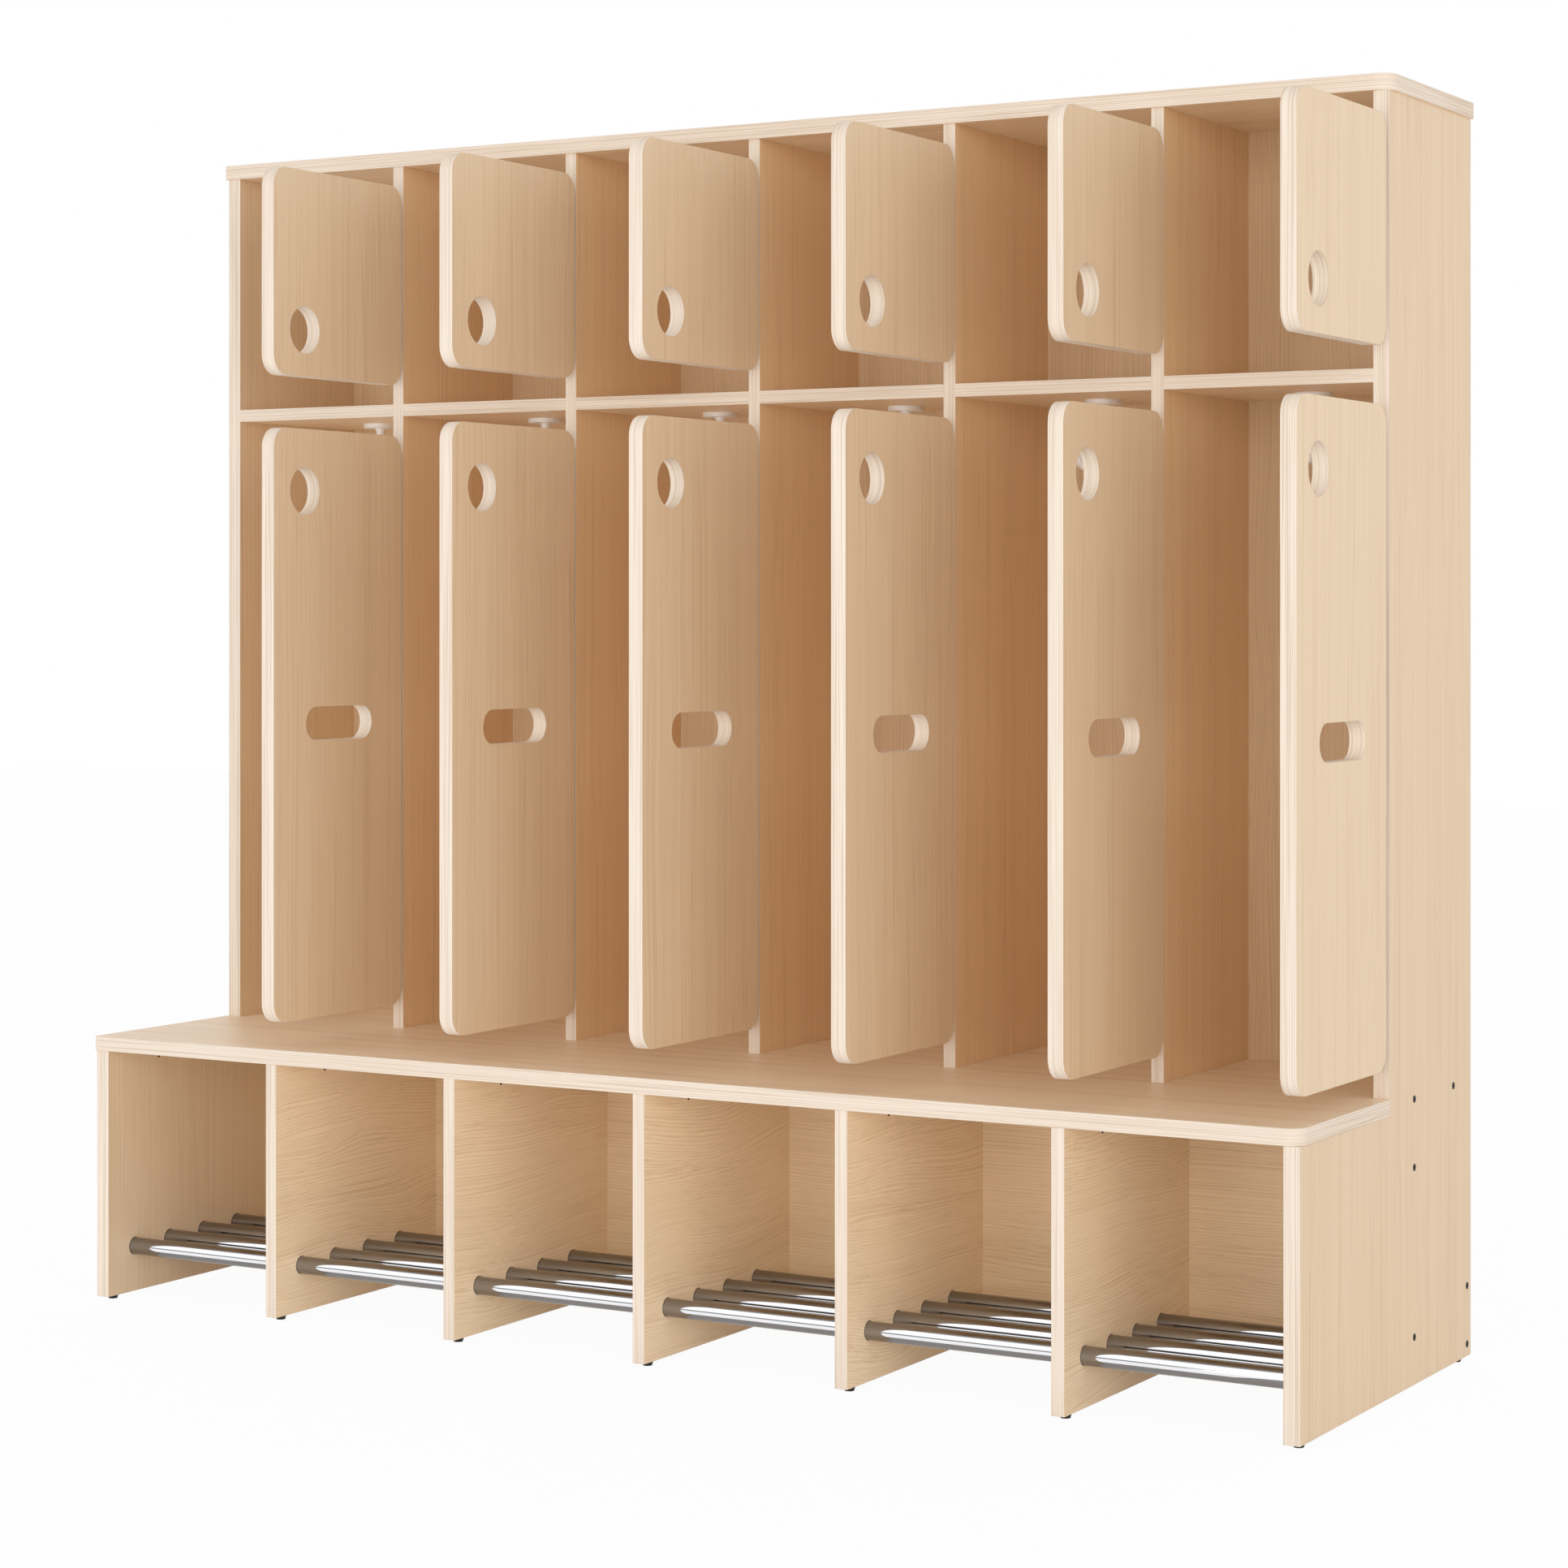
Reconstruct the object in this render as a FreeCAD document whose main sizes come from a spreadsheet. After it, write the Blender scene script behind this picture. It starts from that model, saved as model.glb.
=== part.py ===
import FreeCAD, Part
import math
import os
import re
import Sketcher

# Changing room bench: a seat over a shoe rack in front of six lockers with doors.
# Millimetres, +X to the right as seen from the front, +Y towards the back, +Z up.
# The origin lies on the floor, under the middle of the whole piece with its doors open.
# "Front line" means the front of the tall lockers; the bench stands out before it.

BAYS = 6
TUBE_ROWS = 4
HOOK_ARMS = 3

# Small and hidden round pieces are drawn with a few flat sides, which keeps the facets few
ROUND_SIDES = 8
PIN_SIDES = 6
BEND_STEPS = 4
HALF_TURN = 180

# Driving dimensions: name, value in millimetres or degrees, what it is
SIZES = [
    ("bay_width", 257, "clear width of one locker"),
    ("side_thickness", 19, "outer side panels"),
    ("divider_thickness", 16, "partitions, shelves, back panels and rail"),
    ("cabinet_depth", 275.5, "front line to the rear edge of the side panels"),
    ("bench_reach", 268.6, "front line forward to the front of the bench uprights"),
    ("body_height", 1493, "underside of the uprights to the top face"),
    ("top_thickness", 19, "top panel"),
    ("top_overhang", 3, "top panel past the sides and the front line"),
    ("top_rear_overhang", 2, "top panel past the rear edges of the sides"),
    ("seat_height", 336.8, "underside of the uprights to the seat face"),
    ("seat_thickness", 19, "seat panel"),
    ("seat_overhang", 1.2, "seat past the bench uprights at the front and the ends"),
    ("seat_fit", 0.3, "gap between the seat and the tall side panels"),
    ("corner_radius", 20, "rounded front right corner of seat and top"),
    ("cubby_height", 313.4, "clear height of an upper cubby, over its shelf"),
    ("back_inset", 4.5, "rear edge of the sides to the back panel and the rail"),
    ("bench_back_setback", 73.5, "front line back to the panel behind the shoe rack"),
    ("rail_height", 98, "low rail at the rear"),
    ("door_width", 269, "door, across"),
    ("door_thickness", 19, "door board"),
    ("door_corner_radius", 25, "door corners"),
    ("door_open_gap", 6.5, "front line to the near edge of an open door"),
    ("door_open_inset", 1, "inner face of an open door past the upright's left face"),
    ("door_closed_gap", 4, "front line to the inner face of a closed door"),
    ("door_overlay", 17, "closed door over the upright that carries it"),
    ("upper_door_gap", 23.9, "shelf face to the upper door's lower edge"),
    ("upper_door_head_gap", 28, "upper door's upper edge to the underside of the top panel"),
    ("lower_door_gap", 32.6, "seat face to the lower door's lower edge"),
    ("lower_door_head_gap", 26.5, "lower door's upper edge to the underside of the shelf"),
    ("finger_hole_radius", 30, "round hole in each door"),
    ("finger_hole_setback", 63, "free edge of the door to the hole's centre"),
    ("upper_hole_rise", 58.8, "upper door's lower edge to the hole's centre"),
    ("lower_hole_drop", 78.9, "lower door's upper edge to the hole's centre"),
    ("slot_length", 138, "oblong hole in the lower door, end to end"),
    ("slot_width", 43, "oblong hole, across"),
    ("hinge_end_distance", 64, "end of a door to the middle of its hinge"),
    ("cup_radius", 17.5, "hinge cup bore in the door"),
    ("cup_edge_distance", 3, "door edge to the cup bore"),
    ("cup_bore_depth", 14, "depth of the cup bore"),
    ("cup_depth", 13.7, "depth of the cup"),
    ("cup_wall", 0.8, "sheet of the cup"),
    ("well_play", 0.8, "oblong well in the cup, past each side of the neck"),
    ("cup_fit", 0.2, "radial play of the cup in its bore"),
    ("flange_thickness", 1.2, "cup flange on the door face"),
    ("flange_margin", 1.5, "cup flange short of the door edge"),
    ("flange_half_length", 27, "half length of the cup flange, along the door edge"),
    ("pin_radius", 1.25, "hinge pin"),
    ("pin_seat", 2, "length of each end of the pin inside the cup"),
    ("pin_clearance", 0.3, "play round the hinge pin"),
    ("knuckle_radius", 2.2, "eye of the hinge arm round the pin"),
    ("knuckle_half_length", 5, "half width of the eye and the bent neck"),
    ("neck_thickness", 2.5, "steel of the bent neck"),
    ("neck_offset", 4.5, "upright face to the middle of the neck"),
    ("arm_length", 60, "hinge arm along the upright"),
    ("arm_height", 10, "hinge arm off its plate"),
    ("arm_half_width", 8, "half width of the hinge arm"),
    ("plate_thickness", 2, "mounting plate"),
    ("plate_setback", 20, "front line to the mounting plate"),
    ("plate_length", 36, "mounting plate, front to back"),
    ("plate_half_height", 24, "half height of the mounting plate"),
    ("tube_radius", 11, "shoe rack tube"),
    ("tube_wall", 1.2, "wall of the tube"),
    ("tube_fit", 0.4, "radial play of a tube in its hole"),
    ("tube_height", 58.7, "underside of the uprights to the tube axis"),
    ("tube_setback", 52, "front of the bench uprights to the first tube axis"),
    ("tube_pitch", 69.6, "spacing of the tubes, front to back"),
    ("socket_depth", 10, "tube ends in the side panels"),
    ("socket_end_gap", 0.3, "tube end to the bottom of its socket"),
    ("glide_height", 5, "black floor glide"),
    ("glide_radius", 7.5, "floor glide, from its middle to a corner"),
    ("glide_front_setback", 20, "front of the upright to the glide's middle"),
    ("glide_rear_setback", 25, "rear of the upright to the glide's middle"),
    ("hook_setback", 145, "front line to the swivel hook"),
    ("hook_base_radius", 23, "round base under the shelf"),
    ("hook_base_height", 6, "height of that base"),
    ("hook_head_radius", 6.2, "head that holds the hook in its base"),
    ("hook_head_height", 2, "height of that head"),
    ("hook_pin_radius", 4, "neck through the base"),
    ("hook_play", 0.3, "play round the head and the neck"),
    ("hook_stem_radius", 6.3, "stem below the base, from its middle to a corner"),
    ("hook_stem_drop", 85, "shelf to the lower end of the stem"),
    ("hook_bend_radius", 17.5, "middle line of a hook arm"),
    ("hook_bend_drop", 64.8, "shelf to the centre of an arm's bend"),
    ("hook_arm_width", 11, "arm, across its bend"),
    ("hook_arm_thickness", 9, "arm, side to side"),
    ("hook_bend_end", 28, "degrees that the bend rises past level at the tip"),
    ("hook_tip_angle", 16, "degrees by which the blunt tip stands out past that"),
    ("hook_outer_end", 309, "degrees at which the outside of the bend meets the stem"),
    ("hook_inner_end", 345, "degrees at which the inside of the bend meets the stem"),
    ("hook_root_setback", 3, "stem's middle to the arm's end inside it"),
]

# Places and sums that several pieces share
DERIVED = [
    ("half_width", "side_thickness + %d*bay_width/2 + %d*divider_thickness/2" % (BAYS, BAYS - 1)),
    ("inner_width", "2*half_width - 2*side_thickness"),
    ("door_reach", "door_open_gap + door_width"),
    ("front_line", "(door_reach - cabinet_depth - top_rear_overhang)/2"),
    ("bench_front", "front_line - bench_reach"),
    ("back_depth", "cabinet_depth - back_inset - divider_thickness"),
    ("side_depth", "bench_reach + cabinet_depth"),
    ("side_height", "body_height - top_thickness"),
    ("shelf_height", "side_height - cubby_height - divider_thickness"),
    ("upper_door_height", "cubby_height - upper_door_gap - upper_door_head_gap"),
    ("lower_door_height", "shelf_height - seat_height - lower_door_gap - lower_door_head_gap"),
    ("seat_under", "seat_height - seat_thickness"),
    ("locker_height", "side_height - seat_height"),
    ("bench_depth", "bench_reach + bench_back_setback"),
    ("upper_door_foot", "glide_height + shelf_height + divider_thickness + upper_door_gap"),
    ("lower_door_foot", "glide_height + seat_height + lower_door_gap"),
    ("pivot_x", "(door_overlay + door_open_gap - door_open_inset - door_closed_gap)/2"),
    ("pivot_y", "-(door_overlay + door_open_gap + door_open_inset + door_closed_gap)/2"),
    ("cup_centre_y", "-(door_open_gap + cup_edge_distance + cup_radius)"),
    ("cup_inner_radius", "cup_radius - cup_fit - cup_wall"),
    ("tube_bore", "tube_radius + tube_fit"),
    ("well_half_width", "knuckle_half_length + well_play"),
    ("pin_half_length", "well_half_width + pin_seat"),
    ("eye_corner", "knuckle_radius*tan(%d deg/%d)" % (HALF_TURN, ROUND_SIDES)),
]

doc = FreeCAD.newDocument("ChangingRoomBench")
sheet = doc.addObject("Spreadsheet::Sheet", "Sizes")
for row, (alias, value, note) in enumerate(SIZES, start=1):
    sheet.set(f"A{row}", note)
    sheet.set(f"B{row}", str(value))
    sheet.setAlias(f"B{row}", alias)
doc.recompute()

size_names = {entry[0] for entry in SIZES}
derived_names = {entry[0] for entry in DERIVED}
derived = doc.addObject("App::VarSet", "Derived")


def bound(formula):
    """The formula with every size name pointing at its cell or derived value."""
    def point(match):
        word = match.group(0)
        if word in size_names:
            return "Sizes." + word
        return "Derived." + word if word in derived_names else word
    return re.sub(r"[a-z_]+", point, formula)


def amount(formula):
    """The formula's present value, for first positions of sketch geometry."""
    def figure(match):
        word = match.group(0)
        if word not in size_names | derived_names:
            return word
        holder = sheet if word in size_names else derived
        return f"({float(getattr(holder, word)):.9f})"
    return FreeCAD.Units.Quantity(re.sub(r"[a-z_]+", figure, formula)).Value


for name, formula in DERIVED:
    derived.addProperty("App::PropertyFloat", name, "Derived")
    derived.setExpression(name, bound(formula))
    doc.recompute()


def place(item, x, y, z):
    for axis, formula in zip("xyz", (x, y, z)):
        item.setExpression("Placement.Base." + axis, bound(formula))


# Sketch helpers: every point and radius is tied to a formula

def fix_point(sketch, geometry, corner, x, y):
    for kind, axis, formula in (("DistanceX", -2, x), ("DistanceY", -1, y)):
        if amount(formula) == 0:
            sketch.addConstraint(Sketcher.Constraint("PointOnObject", geometry, corner, axis))
            continue
        rule = Sketcher.Constraint(kind, -1, 1, geometry, corner, amount(formula))
        index = sketch.addConstraint(rule)
        sketch.setExpression(f"Constraints[{index}]", bound(formula))


def fix_radius(sketch, geometry, radius):
    index = sketch.addConstraint(Sketcher.Constraint("Radius", geometry, amount(radius)))
    sketch.setExpression(f"Constraints[{index}]", bound(radius))


def spot(x, y):
    return FreeCAD.Vector(amount(x), amount(y), 0)


def draw_outline(sketch, points):
    first = sketch.GeometryCount
    spots = [spot(x, y) for x, y in points]
    for start, end in zip(spots, spots[1:] + spots[:1]):
        sketch.addGeometry(Part.LineSegment(start, end))
    for index, (x, y) in enumerate(points):
        following = first + (index + 1) % len(points)
        sketch.addConstraint(Sketcher.Constraint("Coincident", first + index, 2, following, 1))
        fix_point(sketch, first + index, 1, x, y)


def draw_circle(sketch, x, y, radius):
    ring = Part.Circle(spot(x, y), FreeCAD.Vector(0, 0, 1), amount(radius))
    geometry = sketch.addGeometry(ring)
    fix_point(sketch, geometry, 3, x, y)
    fix_radius(sketch, geometry, radius)


def corners_round(x, y, radius, sides, outside):
    """Corners of a regular polygon: its flats touch the circle, or its corners lie on it."""
    spread = 1/math.cos(math.pi/sides) if outside else 1
    corners = []
    for step in range(sides):
        angle = (2*step + 1)*math.pi/sides
        across, up = spread*math.cos(angle), spread*math.sin(angle)
        corners.append((f"{x} + ({radius})*({across:.6f})", f"{y} + ({radius})*({up:.6f})"))
    return corners


def draw_hole(sketch, x, y, radius, sides):
    draw_outline(sketch, corners_round(x, y, radius, sides, True))


def draw_peg(sketch, x, y, radius, sides):
    draw_outline(sketch, corners_round(x, y, radius, sides, False))


def draw_slot(sketch, x, y, length, width):
    """An oblong hole along the sketch's first axis, with round ends."""
    radius = f"({width})/2"
    reach = f"(({length}) - ({width}))/2"
    near, far = f"{x} - {reach}", f"{x} + {reach}"
    up = FreeCAD.Vector(0, amount(radius), 0)
    out = FreeCAD.Vector(amount(radius), 0, 0)
    left, right = spot(near, y), spot(far, y)
    shapes = [
        Part.Arc(left + up, left - out, left - up),
        Part.LineSegment(left - up, right - up),
        Part.Arc(right - up, right + out, right + up),
        Part.LineSegment(right + up, left + up),
    ]
    first = sketch.GeometryCount
    for shape in shapes:
        sketch.addGeometry(shape)
    ends = [(0, 2, 1, 1), (1, 2, 2, 1), (2, 2, 3, 1), (3, 2, 0, 1)]
    for one, one_end, other, other_end in ends:
        rule = Sketcher.Constraint("Tangent", first + one, one_end, first + other, other_end)
        sketch.addConstraint(rule)
    for arc, centre in ((first, near), (first + 2, far)):
        fix_point(sketch, arc, 3, centre, y)
        fix_radius(sketch, arc, radius)


# Body helpers: a sketch on one of the body's own planes, then pads, pockets and edges

def new_body(label, x, y, z):
    body = doc.addObject("PartDesign::Body", label)
    body.Label = label
    place(body, x, y, z)
    return body


def new_sketch(body, role, lift="0"):
    sketch = body.newObject("Sketcher::SketchObject", body.Label + "_sketch")
    plane = next(item for item in body.Origin.OriginFeatures if item.Role == role)
    sketch.AttachmentSupport = [(plane, "")]
    sketch.MapMode = "FlatFace"
    sketch.setExpression("AttachmentOffset.Base.z", bound(lift))
    return sketch


def add_pad(body, sketch, length, midplane=False):
    pad = body.newObject("PartDesign::Pad", body.Label + "_pad")
    pad.Profile = sketch
    pad.setExpression("Length", bound(length))
    pad.Midplane = midplane
    doc.recompute()
    return pad


def add_pocket(body, sketch, depth):
    """Cuts from the sketch along its plane's own direction, and proves that it cut."""
    before = body.Shape.Volume
    pocket = body.newObject("PartDesign::Pocket", body.Label + "_pocket")
    pocket.Profile = sketch
    pocket.Reversed = True
    pocket.setExpression("Length", bound(depth))
    doc.recompute()
    if pocket.Shape.isNull() or not pocket.Shape.Volume < before:
        raise RuntimeError(body.Label + ": a pocket cuts nothing")
    return pocket


def add_bar(body, left, right, near, far, half_height):
    """A plain bar, as far above the body's own level as below it."""
    sketch = new_sketch(body, "XY_Plane")
    draw_outline(sketch, [(left, near), (right, near), (right, far), (left, far)])
    return add_pad(body, sketch, f"2*({half_height})", midplane=True)


def straight_along(edge, direction):
    if not isinstance(edge.Curve, Part.Line):
        return False
    run = edge.Vertexes[-1].Point - edge.Vertexes[0].Point
    return abs(run.normalize().dot(direction)) > 1 - 1e-6


def round_edges(body, radius, wanted):
    """A fillet on the edges of the body's tip that the test wants."""
    base = body.Tip
    names = [f"Edge{number}" for number, edge in enumerate(base.Shape.Edges, start=1) if wanted(edge)]
    if not names:
        raise RuntimeError(body.Label + ": no edges to round")
    fillet = body.newObject("PartDesign::Fillet", body.Label + "_fillet")
    fillet.Base = (base, names)
    fillet.setExpression("Radius", bound(radius))
    doc.recompute()
    return fillet


def near_point(edge, axis_values):
    """True where the edge's middle lies on every given coordinate of the body's own frame."""
    middle = edge.BoundBox.Center
    return all(abs(getattr(middle, axis) - value) < 1e-4 for axis, value in axis_values.items())


ALONG_X = FreeCAD.Vector(1, 0, 0)
ALONG_Z = FreeCAD.Vector(0, 0, 1)


# Plain solids for fittings, tied to formulas

def prism(label, sides, corner_radius, height, x, y, z, axis=ALONG_Z):
    """A regular prism along the axis, turned so that flats face along the other axes."""
    item = doc.addObject("Part::Prism", label)
    item.Polygon = sides
    item.setExpression("Circumradius", bound(corner_radius))
    item.setExpression("Height", bound(height))
    half_step = FreeCAD.Rotation(ALONG_Z, HALF_TURN/sides)
    item.Placement.Rotation = FreeCAD.Rotation(ALONG_Z, axis)*half_step
    place(item, x, y, z)
    return item


def block(label, low, high):
    item = doc.addObject("Part::Box", label)
    for side, near, far in zip(("Length", "Width", "Height"), low, high):
        item.setExpression(side, bound(f"({far}) - ({near})"))
    place(item, *low)
    return item


def joined(label, pieces):
    item = doc.addObject("Part::MultiFuse", label)
    item.Shapes = pieces
    item.Refine = True
    return item


def without(label, base, tool):
    item = doc.addObject("Part::Cut", label)
    item.Base = base
    item.Tool = tool
    item.Refine = True
    return item


def gathered(label, pieces):
    item = doc.addObject("Part::Compound", label)
    item.Label = label
    item.Links = pieces
    return item


def copy_at(label, original, x, y, z):
    item = doc.addObject("App::Link", label)
    item.LinkedObject = original
    item.LinkTransform = False
    place(item, x, y, z)
    return item


# Where things stand

def upright_left(index):
    """Left face of upright 1 to 6, each at the right of its bay; the last is the side panel."""
    return f"(-half_width + side_thickness + {index}*bay_width + {index - 1}*divider_thickness)"


def bay_middle(index):
    return f"({upright_left(index)} - bay_width/2)"


def tube_offset(row):
    return f"(tube_setback + {row}*tube_pitch)"


# Side panels: tall behind, low under the seat, cut from one board

def make_side_panel(label, is_left):
    x = "-half_width" if is_left else "half_width - side_thickness"
    body = new_body(label, x, "bench_front", "glide_height")
    sketch = new_sketch(body, "YZ_Plane")
    draw_outline(sketch, [
        ("0", "0"),
        ("side_depth", "0"),
        ("side_depth", "side_height"),
        ("bench_reach", "side_height"),
        ("bench_reach", "seat_under"),
        ("0", "seat_under"),
    ])
    add_pad(body, sketch, "side_thickness")

    sockets = new_sketch(body, "YZ_Plane", "side_thickness - socket_depth" if is_left else "0")
    for row in range(TUBE_ROWS):
        draw_hole(sockets, tube_offset(row), "tube_height", "tube_bore", ROUND_SIDES)
    add_pocket(body, sockets, "socket_depth")
    return body


# Horizontal boards

def make_seat():
    body = new_body("seat_panel", "0", "front_line", "glide_height + seat_under")
    front = "-(bench_reach + seat_overhang)"
    wide = "(half_width + seat_overhang)"
    narrow = "(inner_width/2 - seat_fit)"
    rear = "cabinet_depth - back_inset"
    sketch = new_sketch(body, "XY_Plane")
    draw_outline(sketch, [
        ("-" + wide, front),
        (wide, front),
        (wide, "-seat_fit"),
        (narrow, "-seat_fit"),
        (narrow, rear),
        ("-" + narrow, rear),
        ("-" + narrow, "-seat_fit"),
        ("-" + wide, "-seat_fit"),
    ])
    add_pad(body, sketch, "seat_thickness")

    def front_right_corner(edge):
        place_x, place_y = amount(wide), amount(front)
        return straight_along(edge, ALONG_Z) and near_point(edge, {"x": place_x, "y": place_y})
    round_edges(body, "corner_radius", front_right_corner)
    return body


def make_top():
    body = new_body("top_panel", "0", "front_line", "glide_height + side_height")
    wide = "(half_width + top_overhang)"
    sketch = new_sketch(body, "XY_Plane")
    draw_outline(sketch, [
        ("-" + wide, "-top_overhang"),
        (wide, "-top_overhang"),
        (wide, "cabinet_depth + top_rear_overhang"),
        ("-" + wide, "cabinet_depth + top_rear_overhang"),
    ])
    add_pad(body, sketch, "top_thickness")

    def front_right_corner(edge):
        spots = {"x": amount(wide), "y": -amount("top_overhang")}
        return straight_along(edge, ALONG_Z) and near_point(edge, spots)
    round_edges(body, "corner_radius", front_right_corner)
    return body


def make_shelf(index):
    label = f"shelf_{index}"
    body = new_body(label, upright_left(index) + " - bay_width", "front_line", "glide_height + shelf_height")
    sketch = new_sketch(body, "XY_Plane")
    draw_outline(sketch, [
        ("0", "0"),
        ("bay_width", "0"),
        ("bay_width", "back_depth"),
        ("0", "back_depth"),
    ])
    add_pad(body, sketch, "divider_thickness")
    return body


# Upright boards between the sides

def make_upper_partition(index):
    label = f"upper_partition_{index}"
    body = new_body(label, upright_left(index), "front_line", "glide_height + seat_height")
    sketch = new_sketch(body, "YZ_Plane")
    draw_outline(sketch, [
        ("0", "0"),
        ("back_depth", "0"),
        ("back_depth", "locker_height"),
        ("0", "locker_height"),
    ])
    add_pad(body, sketch, "divider_thickness")
    return body


def make_bench_partition(index):
    body = new_body(f"bench_partition_{index}", upright_left(index), "bench_front", "glide_height")
    sketch = new_sketch(body, "YZ_Plane")
    draw_outline(sketch, [
        ("0", "0"),
        ("bench_depth", "0"),
        ("bench_depth", "seat_under"),
        ("0", "seat_under"),
    ])
    for row in range(TUBE_ROWS):
        draw_hole(sketch, tube_offset(row), "tube_height", "tube_bore", ROUND_SIDES)
    add_pad(body, sketch, "divider_thickness")
    return body


def make_cross_panel(label, setback, foot, height):
    """A board from side to side that stands on edge."""
    body = new_body(label, "-inner_width/2", f"front_line + {setback}", f"glide_height + {foot}")
    sketch = new_sketch(body, "XY_Plane")
    draw_outline(sketch, [
        ("0", "0"),
        ("inner_width", "0"),
        ("inner_width", "divider_thickness"),
        ("0", "divider_thickness"),
    ])
    add_pad(body, sketch, height)
    return body


# Doors, shown open at a right angle to the lockers

def hinge_heights(height):
    return ("hinge_end_distance", f"({height} - hinge_end_distance)")


def make_door(label, index, foot, height, hole_height, with_slot):
    body = new_body(label, upright_left(index) + " - door_open_inset", "front_line - door_open_gap", foot)
    sketch = new_sketch(body, "YZ_Plane")
    draw_outline(sketch, [
        ("-door_width", "0"),
        ("0", "0"),
        ("0", height),
        ("-door_width", height),
    ])
    add_pad(body, sketch, "door_thickness")
    round_edges(body, "door_corner_radius", lambda edge: straight_along(edge, ALONG_X))

    cuts = new_sketch(body, "YZ_Plane")
    draw_circle(cuts, "finger_hole_setback - door_width", hole_height, "finger_hole_radius")
    if with_slot:
        draw_slot(cuts, "-door_width/2", f"{height}/2", "slot_length", "slot_width")
    add_pocket(body, cuts, "door_thickness")

    bores = new_sketch(body, "YZ_Plane")
    for z in hinge_heights(height):
        draw_hole(bores, "cup_centre_y + door_open_gap", z, "cup_radius", ROUND_SIDES)
    add_pocket(body, bores, "cup_bore_depth")
    return body


# Concealed hinges: the cup and its pin turn with the door, the arm and its plate stay.
# Their own origin is the upright's front left edge, at the hinge's middle height.

def make_cup():
    face = "-door_open_inset"
    corner_radius = f"(cup_radius - cup_fit)/cos({HALF_TURN} deg/{ROUND_SIDES})"
    outer = prism("cup_outer", ROUND_SIDES, corner_radius, "cup_depth", face, "cup_centre_y", "0", ALONG_X)
    flange = block(
        "cup_flange",
        (f"{face} - flange_thickness", "cup_centre_y - cup_radius - flange_margin", "-flange_half_length"),
        (face, "-door_open_gap - flange_margin", "flange_half_length"),
    )
    well = block(
        "cup_well",
        (f"{face} - flange_thickness", "cup_centre_y - cup_inner_radius", "-well_half_width"),
        (f"{face} + cup_depth - cup_wall", "cup_centre_y + cup_inner_radius", "well_half_width"),
    )
    shell = without("cup_shell", joined("cup_body", [outer, flange]), well)
    pin = prism(
        "hinge_pin", PIN_SIDES, "pin_radius", "2*pin_half_length", "pivot_x", "pivot_y", "-pin_half_length",
    )
    return joined("hinge_cup", [shell, pin])


def make_arm():
    """A bent neck with an eye for the pin, seated in the channel that lies on the mounting plate."""
    arm = new_body("hinge_arm", "0", "0", "0")
    neck = new_sketch(arm, "XY_Plane")
    left, right = "-(neck_offset + neck_thickness/2)", "-(neck_offset - neck_thickness/2)"
    eye_low, eye_high = "pivot_y - knuckle_radius", "pivot_y + knuckle_radius"
    draw_outline(neck, [
        (left, "neck_thickness"),
        (left, eye_low),
        ("pivot_x + eye_corner", eye_low),
        ("pivot_x + knuckle_radius", "pivot_y - eye_corner"),
        ("pivot_x + knuckle_radius", eye_high),
        (right, eye_high),
        (right, "neck_thickness"),
    ])
    draw_hole(neck, "pivot_x", "pivot_y", "pin_radius + pin_clearance", PIN_SIDES)
    add_pad(arm, neck, "2*knuckle_half_length", midplane=True)
    channel_left = "-(plate_thickness + arm_height)"
    add_bar(arm, channel_left, "-plate_thickness", "0", "arm_length", "arm_half_width")
    return arm


def make_plate():
    plate = new_body("hinge_plate", "0", "0", "0")
    plate_end = "plate_setback + plate_length"
    add_bar(plate, "-plate_thickness", "0", "plate_setback", plate_end, "plate_half_height")
    return plate


# Shoe rack tubes and floor glides

def make_tubes():
    length = "inner_width + 2*(socket_depth - socket_end_gap)"
    end_x = "-inner_width/2 - socket_depth + socket_end_gap"
    end_z = "glide_height + tube_height"
    tubes = []
    for row in range(TUBE_ROWS):
        end = (end_x, f"bench_front + {tube_offset(row)}", end_z)
        outer = prism("tube_outer", ROUND_SIDES, "tube_radius", length, *end, ALONG_X)
        inner = prism("tube_inner", ROUND_SIDES, "tube_radius - tube_wall", length, *end, ALONG_X)
        tubes.append(without("tube", outer, inner))
    return gathered("shoe_tubes", tubes)


def make_glides():
    glides = []
    middles = [("-half_width + side_thickness/2", "side_depth")]
    middles += [(upright_left(index) + " + divider_thickness/2", "bench_depth") for index in range(1, BAYS)]
    middles += [("half_width - side_thickness/2", "side_depth")]
    for x, depth in middles:
        for y in ("glide_front_setback", f"{depth} - glide_rear_setback"):
            place_y = f"bench_front + {y}"
            glides.append(prism("glide", PIN_SIDES, "glide_radius", "glide_height", x, place_y, "0"))
    return gathered("floor_glides", glides)


# Swivel hooks under the shelves: a round base, and a stem with three arms that turns in it

def make_hook_base():
    disc = new_body("hook_base", "0", "0", "0")
    sketch = new_sketch(disc, "XY_Plane", "-hook_base_height")
    draw_hole(sketch, "0", "0", "hook_base_radius", ROUND_SIDES)
    draw_hole(sketch, "0", "0", "hook_pin_radius + hook_play", PIN_SIDES)
    add_pad(disc, sketch, "hook_base_height")
    recess = new_sketch(disc, "XY_Plane", "-hook_head_height - 2*hook_play")
    draw_hole(recess, "0", "0", "hook_head_radius + hook_play", PIN_SIDES)
    add_pocket(disc, recess, "hook_head_height + 2*hook_play")
    return disc


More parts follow.
